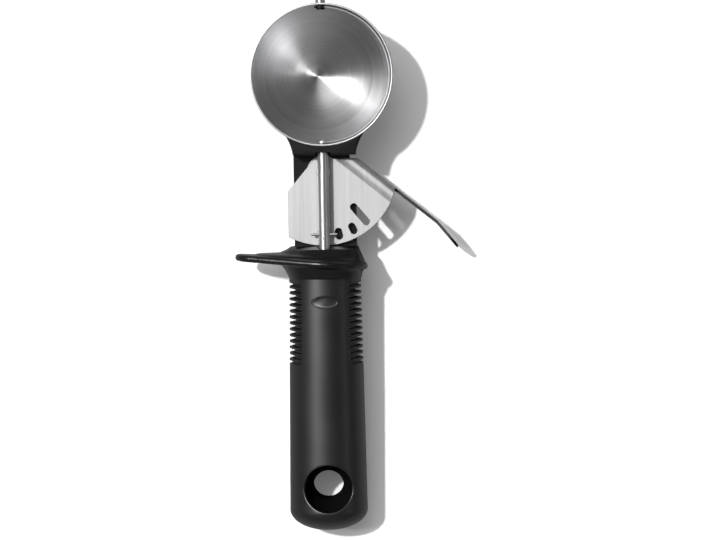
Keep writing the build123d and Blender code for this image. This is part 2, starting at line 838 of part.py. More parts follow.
# Grip sleeve: soft cover with side ribs, a plain oval pad on top, and room for the core's eye
with BuildPart() as pad:
    with BuildSketch(level(0)):
        with Locations((0, pad_y)):
            Ellipse(pad_half_length, pad_half_width)
    extrude(amount=clear_of_all)
    add(grip_body(grip_front_y, -pad_height), mode=Mode.INTERSECT)

with BuildPart() as grip_sleeve:
    add(grip_body(grip_front_y, ribs=rib_sections()))
    add(pad.part)
    add(grip_body(block_rear_y, sleeve_wall), mode=Mode.SUBTRACT)
    add(hang_hole(), mode=Mode.SUBTRACT)
    add(disc(eye_radius + seat_gap, -clear_of_all, 0, 0, 0), mode=Mode.SUBTRACT)
grip_sleeve.part.label = "grip_sleeve"
export_step(grip_sleeve.part, "parts/grip_sleeve.step")

# Core: stiff bar under the sleeve, socketed for the neck's tongue, with the eye of the hang hole
with BuildPart() as eye:
    add(disc(eye_radius, -clear_of_all, 0, 0, 0))
    add(grip_body(grip_front_y), mode=Mode.INTERSECT)

with BuildPart() as handle_core:
    add(grip_body(block_rear_y - seat_gap, sleeve_wall + seat_gap))
    add(eye.part)
    add(hang_hole(), mode=Mode.SUBTRACT)
    add(neck_root(seat_gap), mode=Mode.SUBTRACT)
    add(core_screw_row(open_clearance), mode=Mode.SUBTRACT)
handle_core.part.label = "handle_core"
export_step(handle_core.part, "parts/handle_core.step")

with BuildPart() as core_screws:
    add(core_screw_row())
core_screws.part.label = "core_screws"
export_step(core_screws.part, "parts/core_screws.step")
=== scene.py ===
import math
from contextlib import contextmanager

import bmesh
import bpy
import numpy as np
from mathutils import Matrix, Vector


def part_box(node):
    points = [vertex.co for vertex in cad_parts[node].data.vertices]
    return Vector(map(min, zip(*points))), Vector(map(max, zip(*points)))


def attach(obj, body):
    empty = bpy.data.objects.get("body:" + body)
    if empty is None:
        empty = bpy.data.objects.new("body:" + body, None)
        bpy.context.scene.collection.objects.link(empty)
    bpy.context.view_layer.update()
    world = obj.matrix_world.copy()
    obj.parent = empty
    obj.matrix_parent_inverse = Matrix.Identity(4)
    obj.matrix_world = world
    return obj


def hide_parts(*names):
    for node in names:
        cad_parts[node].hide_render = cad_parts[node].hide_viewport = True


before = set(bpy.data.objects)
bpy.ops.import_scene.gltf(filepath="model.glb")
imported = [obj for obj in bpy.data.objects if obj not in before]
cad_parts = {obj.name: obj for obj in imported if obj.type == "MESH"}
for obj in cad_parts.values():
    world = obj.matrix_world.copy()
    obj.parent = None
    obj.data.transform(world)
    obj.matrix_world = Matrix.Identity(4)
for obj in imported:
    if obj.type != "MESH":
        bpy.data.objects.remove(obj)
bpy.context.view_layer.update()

bl_info = {
    "name": "Lever Scoop Dresser",
    "version": (1, 0, 0),
    "blender": (4, 5, 0),
    "location": "3D View > Sidebar > Scoop",
    "description": "Dresses the lever ice cream scoop with finished surfaces and a plain studio",
    "category": "Object",
}

MM = 0.001  # the pieces are worked out in millimetres


def corners(node):
    """The lowest and the highest corner of a solid's box, in millimetres."""
    return np.array(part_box(node)) / MM


def middle(node):
    """The middle of a solid's box, in millimetres."""
    return corners(node).mean(axis=0)


def half_size(node):
    """Half of a solid's size along X, Y and Z, in millimetres."""
    return np.ptp(corners(node), axis=0) / 2


RIM_Z = corners("bowl")[1, 2]
BOWL_RADIUS = half_size("bowl")[0]
AXIS_Z = middle("drive_shaft")[2]
DRIVE_LINE = np.array([0.0, 0.0, AXIS_Z])
BOWL_CENTRE = np.array([*middle("bowl")[:2], AXIS_Z])
PIVOT = middle("pivot_rivet")


# -------- settings


class ScoopBowlSettings(bpy.types.PropertyGroup):
    wall: bpy.props.FloatProperty(
        name="Wall", description="Thickness of the spun bowl",
        default=0.0009, min=0.0004, max=0.002, subtype="DISTANCE")
    rim_round: bpy.props.FloatProperty(
        name="Rim round", description="Radius of the rim's rounded edges",
        default=0.00035, min=0.0001, max=0.00045, subtype="DISTANCE")
    brush_lean: bpy.props.FloatProperty(
        name="Brush lean", description="How far the polishing centre lies off the bowl's pole",
        default=math.radians(4.4), min=0.0, max=0.3, subtype="ANGLE")
    steel: bpy.props.FloatVectorProperty(
        name="Bowl steel", description="Colour of the spun steel",
        default=(0.55, 0.55, 0.555), min=0.0, max=1.0, subtype="COLOR")


class ScoopSwiperSettings(bpy.types.PropertyGroup):
    gap: bpy.props.FloatProperty(
        name="Gap", description="Room between the swiper and the bowl",
        default=0.0004, min=0.0002, max=0.001, subtype="DISTANCE")
    thickness: bpy.props.FloatProperty(
        name="Thickness", description="Thickness of the swiper's strip",
        default=0.0006, min=0.0003, max=0.001, subtype="DISTANCE")
    width: bpy.props.FloatProperty(
        name="Width", description="Width of the strip at its middle",
        default=0.009, min=0.005, max=0.012, subtype="DISTANCE")
    eye: bpy.props.FloatProperty(
        name="Eye radius", description="Radius of the round eye at each end",
        default=0.0027, min=0.002, max=0.004, subtype="DISTANCE")
    droop: bpy.props.FloatProperty(
        name="Droop", description="How far the parked strip lies below the level of the drive line",
        default=math.radians(8.5), min=0.0, max=0.5, subtype="ANGLE")


class ScoopLeverSettings(bpy.types.PropertyGroup):
    edge: bpy.props.FloatProperty(
        name="Edge break", description="Width of the broken edges of the pressed sheet",
        default=0.00016, min=0.0, max=0.0004, subtype="DISTANCE")
    steel: bpy.props.FloatVectorProperty(
        name="Lever steel", description="Colour of the satin steel sheet",
        default=(0.465, 0.465, 0.47), min=0.0, max=1.0, subtype="COLOR")


class ScoopDriveSettings(bpy.types.PropertyGroup):
    edge: bpy.props.FloatProperty(
        name="End chamfer", description="Chamfer on the shaft and on the pins",
        default=0.0002, min=0.00005, max=0.0004, subtype="DISTANCE")
    steel: bpy.props.FloatVectorProperty(
        name="Drawn steel", description="Colour of the shaft, pins and rivet",
        default=(0.57, 0.57, 0.575), min=0.0, max=1.0, subtype="COLOR")


class ScoopGripSettings(bpy.types.PropertyGroup):
    wall: bpy.props.FloatProperty(
        name="Wall", description="Thickness of the soft sleeve",
        default=0.0034, min=0.002, max=0.004, subtype="DISTANCE")
    fins: bpy.props.IntProperty(
        name="Fins", description="Number of fins on each side", default=13, min=0, max=20)
    fin_pitch: bpy.props.FloatProperty(
        name="Fin pitch", description="Distance from one fin to the next",
        default=0.00255, min=0.0015, max=0.004, subtype="DISTANCE")
    fin_depth: bpy.props.FloatProperty(
        name="Fin depth", description="Greatest depth of the grooves between the fins",
        default=0.0029, min=0.0003, max=0.0031, subtype="DISTANCE")
    lip_round: bpy.props.FloatProperty(
        name="Hole lip", description="Radius of the rounded lip of the hang hole",
        default=0.0005, min=0.0002, max=0.0015, subtype="DISTANCE")
    rubber: bpy.props.FloatVectorProperty(
        name="Rubber", description="Colour of the soft sleeve",
        default=(0.0030, 0.0030, 0.0031), min=0.0, max=1.0, subtype="COLOR")


class ScoopNeckSettings(bpy.types.PropertyGroup):
    voxel: bpy.props.FloatProperty(
        name="Skin size", description="Cell size of the guard's smoothed moulded skin",
        default=0.00042, min=0.0003, max=0.001, subtype="DISTANCE")
    plastic: bpy.props.FloatVectorProperty(
        name="Plastic", description="Colour of the moulded neck and guard",
        default=(0.0028, 0.0028, 0.0029), min=0.0, max=1.0, subtype="COLOR")
    bush: bpy.props.FloatVectorProperty(
        name="Bush", description="Colour of the bearing bushes",
        default=(0.012, 0.012, 0.0125), min=0.0, max=1.0, subtype="COLOR")


class ScoopStageSettings(bpy.types.PropertyGroup):
    floor: bpy.props.FloatVectorProperty(
        name="Floor", description="Colour of the plain floor",
        default=(0.95, 0.95, 0.95), min=0.0, max=1.0, subtype="COLOR")
    mirrored: bpy.props.FloatProperty(
        name="Mirrored floor", description="Share of the floor's white that polished faces mirror",
        default=0.32, min=0.0, max=1.0, subtype="FACTOR")
    key: bpy.props.FloatProperty(
        name="Key light", description="Strength of the main light", default=2.8, min=0.0, max=5.0)
    left: bpy.props.FloatProperty(
        name="Left light", description="Strength of the weak light from the left",
        default=0.42, min=0.0, max=2.0)
    right: bpy.props.FloatProperty(
        name="Right light", description="Strength of the weak light from the right",
        default=0.05, min=0.0, max=2.0)


# -------- shape helpers


def smoothed(mesh, sharp_angle):
    """Shades a mesh smooth but for the edges sharper than the angle in degrees."""
    mesh.shade_smooth()
    mesh.set_sharp_from_angle(angle=math.radians(sharp_angle))


def add_object(name, data):
    """Puts a mesh, a lamp or a camera in the scene as an object."""
    made = bpy.data.objects.new(name, data)
    bpy.context.scene.collection.objects.link(made)
    return made


def put_object(mesh, sharp_angle=35.0):
    """A smoothed mesh as an object of its name at the origin."""
    smoothed(mesh, sharp_angle)
    return add_object(mesh.name, mesh)


@contextmanager
def edited(mesh):
    """Opens a mesh for edits and writes them back."""
    work = bmesh.new()
    work.from_mesh(mesh)
    yield work
    work.to_mesh(mesh)
    work.free()
    mesh.update()


def values_of(items, key, width=3, kind=float):
    """One property of all vertices, face corners or faces, as the rows of an array."""
    values = np.zeros(len(items) * width, kind)
    items.foreach_get(key, values)
    return values.reshape(-1, width)


def corner_places(mesh):
    """The place of each face corner, in metres."""
    index = values_of(mesh.loops, "vertex_index", 1, np.int32)[:, 0]
    return values_of(mesh.vertices, "co")[index]


def face_places(mesh):
    """The middle of each face, in millimetres, and its normal."""
    return values_of(mesh.polygons, "center") / MM, values_of(mesh.polygons, "normal")


def set_uv(mesh, name, values):
    """Gives a mesh a UV map from a pair of values for each face corner."""
    layer = mesh.uv_layers.new(name=name)
    layer.data.foreach_set("uv", values.astype(np.float32).ravel())


def grid_mesh(name, points, wrap_columns=True):
    """A mesh over a grid of points in millimetres: cell (i, j) is the quad between rows i and i + 1
    and columns j and j + 1. Its UV is the share of the way along the rows and columns."""
    rows, columns = points.shape[:2]
    i, j = np.indices((rows - 1, columns - (not wrap_columns))).reshape(2, -1)
    corner_i = np.stack([i, i + 1, i + 1, i], axis=1)
    corner_j = np.stack([j, j, j + 1, j + 1], axis=1)
    quads = corner_i * columns + corner_j % columns
    mesh = bpy.data.meshes.new(name)
    mesh.vertices.add(rows * columns)
    mesh.vertices.foreach_set("co", (points.reshape(-1, 3) * MM).astype(np.float32).ravel())
    mesh.loops.add(quads.size)
    mesh.loops.foreach_set("vertex_index", quads.astype(np.int32).ravel())
    mesh.polygons.add(len(quads))
    mesh.polygons.foreach_set("loop_start", np.arange(0, quads.size, 4, dtype=np.int32))
    mesh.update(calc_edges=True)
    set_uv(mesh, "along", np.stack([corner_i / rows, corner_j / columns], axis=2))
    return mesh


def closed_mesh(name, points):
    """The mesh over a grid, with points that lie together merged, which closes poles and seams, and
    all faces turned outwards."""
    mesh = grid_mesh(name, points)
    with edited(mesh) as work:
        bmesh.ops.remove_doubles(work, verts=work.verts, dist=2e-7)
        bmesh.ops.dissolve_degenerate(work, edges=work.edges, dist=1e-8)
        bmesh.ops.recalc_face_normals(work, faces=work.faces)
    return mesh


def eased(value, start, end):
    """A smooth step: nothing up to start and full from end on, and between them three times the
    square of the share of the way less twice its cube."""
    share = np.clip((value - start) / (end - start), 0, 1)
    return share * share * (3 - 2 * share)


def arc(middle_along, middle_radius, radius, start, end, steps):
    """Points of a profile along a circular arc: middle plus radius times (cosine, sine)."""
    angle = np.radians(np.linspace(start, end, steps))
    return np.stack([middle_along + radius * np.cos(angle),
                     middle_radius + radius * np.sin(angle)], axis=1)


def turned(name, profile, base, axis, steps=96):
    """A turned piece: each profile point (along, radius) goes round the axis through base, in a
    circle of steps. A radius of nothing closes an end."""
    along = np.array(axis, float)
    side = np.array([0.0, 0.0, 1.0]) if abs(along[2]) < 0.5 else np.array([1.0, 0.0, 0.0])
    other = np.cross(along, side)
    angle = np.linspace(0, 2 * np.pi, steps, endpoint=False)
    ring = np.cos(angle)[:, None] * side + np.sin(angle)[:, None] * other
    profile = np.array(profile, float)
    points = base + profile[:, 0, None, None] * along + profile[:, 1, None, None] * ring[None]
    return put_object(closed_mesh(name, points))


def welded(node, name, flatten=1.0):
    """A copy of a solid's mesh with its loose triangles joined, and its flat faces made whole."""
    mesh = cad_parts[node].data.copy()
    mesh.name = name
    mesh.materials.clear()
    spare = mesh.attributes.get("custom_normal")
    if spare is not None:
        mesh.attributes.remove(spare)
    with edited(mesh) as work:
        bmesh.ops.remove_doubles(work, verts=work.verts, dist=1e-6)
        if flatten:
            bmesh.ops.dissolve_limit(work, angle_limit=math.radians(flatten), verts=work.verts,
                                     edges=work.edges)
    return mesh


def modify(piece, name, kind, **settings):
    """Adds a modifier to a piece, with its settings."""
    made = piece.modifiers.new(name, kind)
    for key, value in settings.items():
        setattr(made, key, value)


def apply_modifiers(piece):
    """Replaces a piece's mesh by the outcome of its modifiers."""
    graph = bpy.context.evaluated_depsgraph_get()
    mesh = bpy.data.meshes.new_from_object(piece.evaluated_get(graph))
    piece.modifiers.clear()
    piece.data = mesh


def dress(piece, node, body, finish):
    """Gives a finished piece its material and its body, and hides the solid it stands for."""
    piece.data.materials.clear()
    piece.data.materials.append(material(finish))
    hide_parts(node)
    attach(piece, body)


def second_material(piece, chosen, finish):
    """Gives the chosen faces of a piece another material."""
    piece.data.materials.append(material(finish))
    piece.data.polygons.foreach_set("material_index", chosen.astype(np.int32))
    piece.data.update()


def finish_node(node, finish):
    """Puts a material on a solid that is shown as it is."""
    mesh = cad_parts[node].data
    mesh.materials.clear()
    mesh.materials.append(material(finish))


# -------- shader helpers


def clean_tree(owner):
    """The emptied node tree of a material or a world."""
    owner.use_nodes = True
    owner.node_tree.nodes.clear()
    return owner.node_tree


def add_node(tree, kind, inputs=None, **settings):
    """Adds a node; each input takes a value or the socket that feeds it."""
    made = tree.nodes.new(kind)
    for key, value in settings.items():
        setattr(made, key, value)
    for key, value in (inputs or {}).items():
        if isinstance(value, bpy.types.NodeSocket):
            tree.links.new(value, made.inputs[key])
        else:
            made.inputs[key].default_value = value
    return made


def number(tree, operation, *terms, **settings):
    """The outcome of a sum on numbers."""
    return add_node(tree, "ShaderNodeMath", dict(enumerate(terms)), operation=operation,
                    **settings).outputs[0]


def vector(tree, operation, *terms):
    """The outcome of a sum on vectors: a number for a distance or a dot product."""
    outputs = add_node(tree, "ShaderNodeVectorMath", dict(enumerate(terms)),
                       operation=operation).outputs
    return outputs["Value" if operation in ("DISTANCE", "DOT_PRODUCT") else "Vector"]


def summed(tree, first, second, weight):
    """first plus weight times second."""
    return number(tree, "MULTIPLY_ADD", second, weight, first)


def spread(tree, value, start, end, low=0.0, high=1.0, soft=False):
    """A value that goes from low to high as another goes from start to end."""
    return add_node(tree, "ShaderNodeMapRange",
                    {"Value": value, "From Min": start, "From Max": end, "To Min": low,
                     "To Max": high},
                    interpolation_type="SMOOTHSTEP" if soft else "LINEAR").outputs[0]


def noise(tree, place, scale, detail, rough, twist=0.0):
    """Smooth noise over a place."""
    return add_node(tree, "ShaderNodeTexNoise",
                    {"Vector": place, "Scale": scale, "Detail": detail, "Roughness": rough,
                     "Distortion": twist}).outputs["Fac"]


def colour_mix(tree, mask, first, second):
    """A colour that goes from first to second with a mask."""
    return add_node(tree, "ShaderNodeMix", {0: mask, 6: first, 7: second},
                    data_type="RGBA").outputs[2]


def bumped(tree, height, distance, strength):
    """A normal from a height."""
    return add_node(tree, "ShaderNodeBump", {"Height": height, "Distance": distance,
                                             "Strength": strength}).outputs["Normal"]


def tinted(tree, share, colour, low, high):
    """A colour times a factor that goes from low to high with share."""
    ramp = add_node(tree, "ShaderNodeValToRGB", {"Fac": share})
    for stop, position, factor in zip(ramp.color_ramp.elements, (0.3, 0.7), (low, high)):
        stop.position = position
        stop.color = (*[min(1.0, part * factor) for part in colour], 1.0)
    return ramp.outputs["Color"]


def object_place(tree):
    """The place on the piece."""
    return add_node(tree, "ShaderNodeTexCoord").outputs["Object"]


def turning_map(tree):
    """The UV map of a spun piece."""
    return add_node(tree, "ShaderNodeUVMap", uv_map="turning").outputs[0]


def turning_place(tree):
    """The UV of a spun piece as the place of a pattern, scaled to about metres."""
    return vector(tree, "MULTIPLY", turning_map(tree), (0.09, 0.02, 0.0))


def fed_by(shader, name):
    """The socket that feeds a shader's input."""
    return shader.inputs[name].links[0].from_socket


def new_group(name, values, outputs):
    """An empty shader node group that takes a vector and named values. Returns its tree, what it is
    given and what it puts out."""
    tree = bpy.data.node_groups.new(name, "ShaderNodeTree")
    tree.interface.new_socket("Vector", in_out="INPUT", socket_type="NodeSocketVector")
    for label, value in values.items():
        socket = tree.interface.new_socket(label, in_out="INPUT", socket_type="NodeSocketFloat")
        socket.default_value = value
    for label in outputs:
        tree.interface.new_socket(label, in_out="OUTPUT", socket_type="NodeSocketFloat")
    return tree, tree.nodes.new("NodeGroupInput").outputs, tree.nodes.new("NodeGroupOutput").inputs


def build_fine_grain():
    """Moulded or cast skin: a fine even grain, and a slow drift of tone."""
    tree, given, taken = new_group("fine_grain", {"Grain": 2600.0, "Drift": 60.0},
                                   ("Height", "Tone"))
    tree.links.new(noise(tree, given["Vector"], given["Grain"], 3.0, 0.6), taken["Height"])
    tree.links.new(noise(tree, given["Vector"], given["Drift"], 2.0, 0.5), taken["Tone"])


def build_brushed_lines():
    """Brushed metal: noise drawn out along Y into fine lines, and broader bands of the same."""
    tree, given, taken = new_group("brushed_lines", {"Across": 5000.0, "Along": 90.0},
                                   ("Height", "Bands"))
    stretch = add_node(tree, "ShaderNodeCombineXYZ",
                       {"X": given["Across"], "Y": given["Along"], "Z": given["Across"]})
    drawn = vector(tree, "MULTIPLY", given["Vector"], stretch.outputs[0])
    tree.links.new(noise(tree, drawn, 1.0, 4.0, 0.7), taken["Height"])
    tree.links.new(noise(tree, drawn, 0.16, 3.0, 0.6), taken["Bands"])


def build_handling_wear():
    """Wear from use: a broken mask of rubbed patches crossed by a few fine scratches."""
    tree, given, taken = new_group("handling_wear", {"Size": 90.0, "Amount": 0.3}, ("Mask",))
    patches = noise(tree, given["Vector"], given["Size"], 5.0, 0.65, 0.4)
    drawn = vector(tree, "MULTIPLY", given["Vector"], (2600.0, 140.0, 2600.0))
    scratches = noise(tree, drawn, 1.0, 1.0, 0.4)
    both = number(tree, "MAXIMUM", spread(tree, patches, 0.48, 0.72),
                  spread(tree, scratches, 0.66, 0.72))
    tree.links.new(number(tree, "MULTIPLY", both, given["Amount"]), taken["Mask"])


def use_group(tree, name, place, **values):
    """Places a shared group over a place, with its own values."""
    made = tree.nodes.new("ShaderNodeGroup")
    made.node_tree = bpy.data.node_groups[name]
    tree.links.new(place, made.inputs["Vector"])
    for key, value in values.items():
        made.inputs[key].default_value = value
    return made.outputs


def start_material(name):
    """An empty material with a Principled shader. Returns its tree and the shader."""
    tree = clean_tree(bpy.data.materials.new(name))
    shader = tree.nodes.new("ShaderNodeBsdfPrincipled")
    add_node(tree, "ShaderNodeOutputMaterial", {"Surface": shader.outputs[0]})
    return tree, shader


def feed(tree, shader, **sources):
    """Feeds a shader's inputs, named with _ for a space."""
    for name, source in sources.items():
        tree.links.new(source, shader.inputs[name.replace("_", " ")])


def metal(name, colour, place_of, across, along, rough, uv="", pull=0.0, scratch=0.25,
          depth=0.000004):
    """Brushed metal: lines across the tone, roughness and height, with wear over them. With a UV
    map, its highlights are pulled across the lines."""
    tree, shader = start_material(name)
    lines = use_group(tree, "brushed_lines", place_of(tree), Across=across, Along=along)
    wear = use_group(tree, "handling_wear", object_place(tree), Amount=scratch)["Mask"]
    dull = spread(tree, lines["Bands"], 0.3, 0.7, rough * 0.9, rough * 1.12)
    feed(tree, shader,
         Base_Color=tinted(tree, summed(tree, lines["Bands"], wear, -0.12), colour, 0.90, 1.10),
         Roughness=summed(tree, dull, wear, 0.10),
         Normal=bumped(tree, lines["Height"], depth, 0.5))
    shader.inputs["Metallic"].default_value = 1.0
    if uv:
        shader.inputs["Anisotropic"].default_value = pull
        tangent = add_node(tree, "ShaderNodeTangent", direction_type="UV_MAP", uv_map=uv)
        feed(tree, shader, Tangent=tangent.outputs[0])
    return tree, shader


def plastic(name, colour, rough, gloss, grain, depth, worn):
    """Moulded plastic or rubber: fine grain in the height, slow drift and rubbed patches in the
    tone and the roughness."""
    tree, shader = start_material(name)
    shader.inputs["Specular IOR Level"].default_value = gloss
    place = object_place(tree)
    skin = use_group(tree, "fine_grain", place, Grain=grain)
    wear = use_group(tree, "handling_wear", place, Size=45.0, Amount=worn)["Mask"]
    dull = spread(tree, skin["Tone"], 0.3, 0.7, rough * 0.95, rough * 1.06)
    feed(tree, shader,
         Base_Color=tinted(tree, summed(tree, skin["Tone"], wear, 0.5), colour, 0.85, 1.25),
         Roughness=summed(tree, dull, wear, -0.10),
         Normal=bumped(tree, skin["Height"], depth, 0.6))


def mark_rings(tree, shader, rings):
    """Adds the faint rings that the spinning tool left: narrow darker and duller lines, each given
    by its angle from the polishing centre and its half width, as shares of half a turn."""
    fall = add_node(tree, "ShaderNodeSeparateXYZ", {0: turning_map(tree)}).outputs["X"]
    mask = 0.0
    for share, half in rings:
        gap = number(tree, "ABSOLUTE", number(tree, "SUBTRACT", fall, share))
        mask = number(tree, "ADD", mask, spread(tree, gap, half, 0.0, soft=True))
    dark = (0.49, 0.49, 0.495, 1.0)
    feed(tree, shader, Base_Color=colour_mix(tree, mask, fed_by(shader, "Base Color"), dark),
         Roughness=summed(tree, fed_by(shader, "Roughness"), mask, 0.03))


def paint_far_pivot_shade(tree, shader):
    """Paints shade on what is riveted inside the bowl's far wall, where it lies in shade: a dark
    colour all within a ball, but for what lies outside the wall."""
    deep, ball_edge, ball_core, skin_start, skin_end = 2.6, 3.3, 3.0, 0.8, 0.5
    wall = BOWL_CENTRE[1] + BOWL_RADIUS
    place = object_place(tree)
    heart = (0.0, (wall - deep) * MM, AXIS_Z * MM)
    near = spread(tree, vector(tree, "DISTANCE", place, heart), ball_edge * MM, ball_core * MM)
    outside = spread(tree, vector(tree, "DOT_PRODUCT", place, (0.0, 1.0, 0.0)),
                     (wall - skin_start) * MM, (wall - skin_end) * MM, soft=True)
    band = number(tree, "SUBTRACT", near, outside, use_clamp=True)
    # A painted shade: this dark colour stands in for the shade on the far eye and stud.
    painted_shade = (0.02, 0.02, 0.02, 1.0)
    feed(tree, shader, Base_Color=colour_mix(tree, band, fed_by(shader, "Base Color"), painted_shade))


def build_materials(scene):
    """Makes the shared groups and every material once."""
    build_fine_grain()
    build_brushed_lines()
    build_handling_wear()
    spun, drawn, satin = scene.scoop_bowl.steel, scene.scoop_drive.steel, scene.scoop_lever.steel
    # The first colour, for the thumb arm's cut edges, is near black: a painted shade.
    arm_edge_shade, zinc = (0.05, 0.05, 0.051), (0.50, 0.50, 0.49)
    mark_rings(*metal("spun_steel", spun, turning_place, 2600.0, 50.0, 0.33, "turning", 0.92, 0.12),
               ((0.150, 0.006), (0.192, 0.004)))
    metal("rim_steel", spun, turning_place, 2600.0, 50.0, 0.42, scratch=0.12, depth=0.000002)
    # Inside the bowl's far wall the swiper's eye gets a painted shade.
    paint_far_pivot_shade(*metal("blade_steel", spun, turning_place, 2600.0, 50.0, 0.42,
                            depth=0.000002))
    metal("satin_steel", satin, object_place, 4200.0, 70.0, 0.52, "sheet", 0.20, 0.3)
    # Dull sheared steel for the arm's cut edges: the dullness is real, the near black colour is a
    # painted shade.
    metal("sheared_steel_painted_shade", arm_edge_shade, object_place, 2600.0, 900.0, 0.50)
    metal("drawn_steel", drawn, object_place, 5200.0, 60.0, 0.30, scratch=0.05, depth=0.0000005)
    # The far stud's steel, with a painted shade inside the bowl's far wall.
    paint_far_pivot_shade(*metal("stud_steel", drawn, object_place, 2600.0, 900.0, 0.30,
                            depth=0.000001))
    metal("zinc_steel", zinc, object_place, 2600.0, 900.0, 0.36)
    moulded, acetal = scene.scoop_neck.plastic, scene.scoop_neck.bush
    plastic("matte_plastic", moulded, 0.27, 0.50, 2600.0, 0.000003, 0.2)
    plastic("core_plastic", moulded, 0.75, 0.06, 2600.0, 0.000008, 0.2)
    plastic("bush_acetal", acetal, 0.38, 0.40, 3200.0, 0.000006, 0.2)
    plastic("soft_rubber", scene.scoop_grip.rubber, 0.38, 0.70, 3600.0, 0.000004, 0.25)


def material(name):
    """One of the finished materials, built the first time that it is asked for."""
    if name not in bpy.data.materials:
        build_materials(bpy.context.scene)
    return bpy.data.materials[name]


# -------- bowl and swiper


def turning_uv(mesh, lean):
    """The UV of a spun surface: U is the angle from the polishing centre and V the angle round it.
    V is unrolled face by face, so no face straddles its jump."""
    ray = corner_places(mesh) - BOWL_CENTRE * MM
    ray /= np.linalg.norm(ray, axis=1)[:, None]
    pole = np.array([-math.sin(lean), 0.0, -math.cos(lean)])
    side = np.cross(pole, [0.0, 1.0, 0.0])
    side /= np.linalg.norm(side)
    other = np.cross(pole, side)
    fall = np.arccos(np.clip(ray @ pole, -1, 1)) / np.pi
    turn = np.arctan2(ray @ other, ray @ side) / (2 * np.pi)
    start = values_of(mesh.polygons, "loop_start", 1, np.int32)[:, 0]
    total = values_of(mesh.polygons, "loop_total", 1, np.int32)[:, 0]
    first = np.repeat(turn[start], total)
    turn = first + (turn - first + 0.5) % 1.0 - 0.5
    set_uv(mesh, "turning", np.stack([fall, turn], axis=1))


class SCOOP_OT_bowl(bpy.types.Operator):
    """Spin the bowl: half a ball with a straight lip and a rounded rim"""
    bl_idname = "scoop.bowl"
    bl_label = "Make Bowl"

    def execute(self, context):
        settings = context.scene.scoop_bowl
        rim, rim_depth = settings.rim_round / MM, 0.4
        wall_steps, rim_steps = 80, 6
        outer, inner = BOWL_RADIUS, BOWL_RADIUS - settings.wall / MM
        lip = RIM_Z - AXIS_Z - rim
        profile = np.concatenate([
            arc(0, 0, inner, 180, 90, wall_steps), arc(lip, inner + rim, rim, 270, 360, rim_steps),
            arc(lip, outer - rim, rim, 0, 90, rim_steps), arc(0, 0, outer, 90, 180, wall_steps)])
        shell = turned("bowl_shell", profile, BOWL_CENTRE, (0, 0, 1), steps=192)
        turning_uv(shell.data, settings.brush_lean)
        dress(shell, "bowl", "frame", "spun_steel")
        height = face_places(shell.data)[0][:, 2]
        second_material(shell, height > RIM_Z - rim_depth, "rim_steel")
        saddle = put_object(welded("bowl_tang", "tang_saddle"))
        dress(saddle, "bowl_tang", "frame", "zinc_steel")
        return {"FINISHED"}


def blade_mesh(settings, wall):
    """The swiper: a strip between two balls, along half a great circle over the drive line. A point
    is the centre, plus its distance across along the side, plus the root of the ball's radius
    squared less that distance squared along the circle's direction. The half width goes by the
    squared sine of the angle, and past each end it follows the eye's circle."""
    end_steps, run_steps, cross_steps = 14, 120, 17
    outer = wall - settings.gap / MM
    inner = outer - settings.thickness / MM
    eye, half = settings.eye / MM, settings.width / MM / 2
    ends = np.pi / 2 + math.asin(eye / outer) * np.sin(np.linspace(0, np.pi / 2, end_steps))
    run = np.linspace(-np.pi / 2, np.pi / 2, run_steps)
    along = np.concatenate([-ends[:0:-1], run, ends[1:]])
    reach = outer * np.sin(np.abs(along) - np.pi / 2)
    width = np.where(np.abs(along) > np.pi / 2, np.sqrt(np.clip(eye**2 - reach**2, 0, None)),
                     half - (half - eye) * np.sin(along) ** 2)
    down = np.array([math.cos(settings.droop), 0.0, -math.sin(settings.droop)])
    side = np.array([math.sin(settings.droop), 0.0, math.cos(settings.droop)])
    ring = np.cos(along)[:, None] * down + np.sin(along)[:, None] * np.array([0.0, 1.0, 0.0])
    share = np.linspace(-1, 1, cross_steps)
    loops = []
    for radius, order in ((outer, share), (inner, share[::-1])):
        across = width[:, None] * order[None]
        drop = np.sqrt(radius**2 - across**2)
        loops.append(BOWL_CENTRE + drop[:, :, None] * ring[:, None] + across[:, :, None] * side)
    return closed_mesh("swiper_blade", np.concatenate(loops, axis=1))


class SCOOP_OT_swiper(bpy.types.Operator):
    """Press the swiper: a strip of a ball with a round eye at each end of the drive line"""
    bl_idname = "scoop.swiper"
    bl_label = "Make Swiper"

    def execute(self, context):
        wall = BOWL_RADIUS - context.scene.scoop_bowl.wall / MM
        mesh = blade_mesh(context.scene.scoop_swiper, wall)
        turning_uv(mesh, 0.0)
        # Its far eye gets a painted shade from the blade steel, inside the bowl's far wall.
        dress(put_object(mesh), "swiper", "swiper_drive", "blade_steel")
        return {"FINISHED"}


# -------- drive line and fasteners


def shaft_profile(edge):
    """The shaft: a bar with broken edges, a journal through the bowl's wall and a formed head."""
    start, end = corners("drive_shaft")[:, 1]
    bar, journal, head = half_size("drive_shaft")[2], 1.5, 2.0
    shoulder = BOWL_CENTRE[1] - BOWL_RADIUS + 1.25
    return [(start, 0), (start, bar - edge), (start + edge, bar), (shoulder - edge, bar),
            (shoulder, bar - edge), (shoulder, journal), (end - 0.6, journal), (end - 0.6, head),
            (end - 0.45, head + 0.1), (end - 0.2, head), (end, journal), (end, 0)]


def pin_profile(node):
    """A cross pin: a plain bar with broken ends."""
    reach, thick, edge = half_size(node).max(), half_size(node).min(), 0.15
    return [(-reach, 0), (-reach, thick - edge), (edge - reach, thick), (reach - edge, thick),
            (reach, thick - edge), (reach, 0)]


def stud_profile():
    """The far stud: a riveted end inside the bowl, a thin stem and a domed head outside it."""
    low, high = corners("tip_pivot")[:, 1]
    riveted, stem, head = 1.9, 1.2, 2.1
    flange = BOWL_CENTRE[1] + BOWL_RADIUS
    return [(low, 0), (low, riveted - 0.2), (low + 0.2, riveted), (low + 0.6, riveted),
            (low + 0.6, stem), (flange, stem), (flange, head), (high - 0.7, head),
            (high - 0.3, head - 0.35), (high, head - 0.8), (high, 0)]


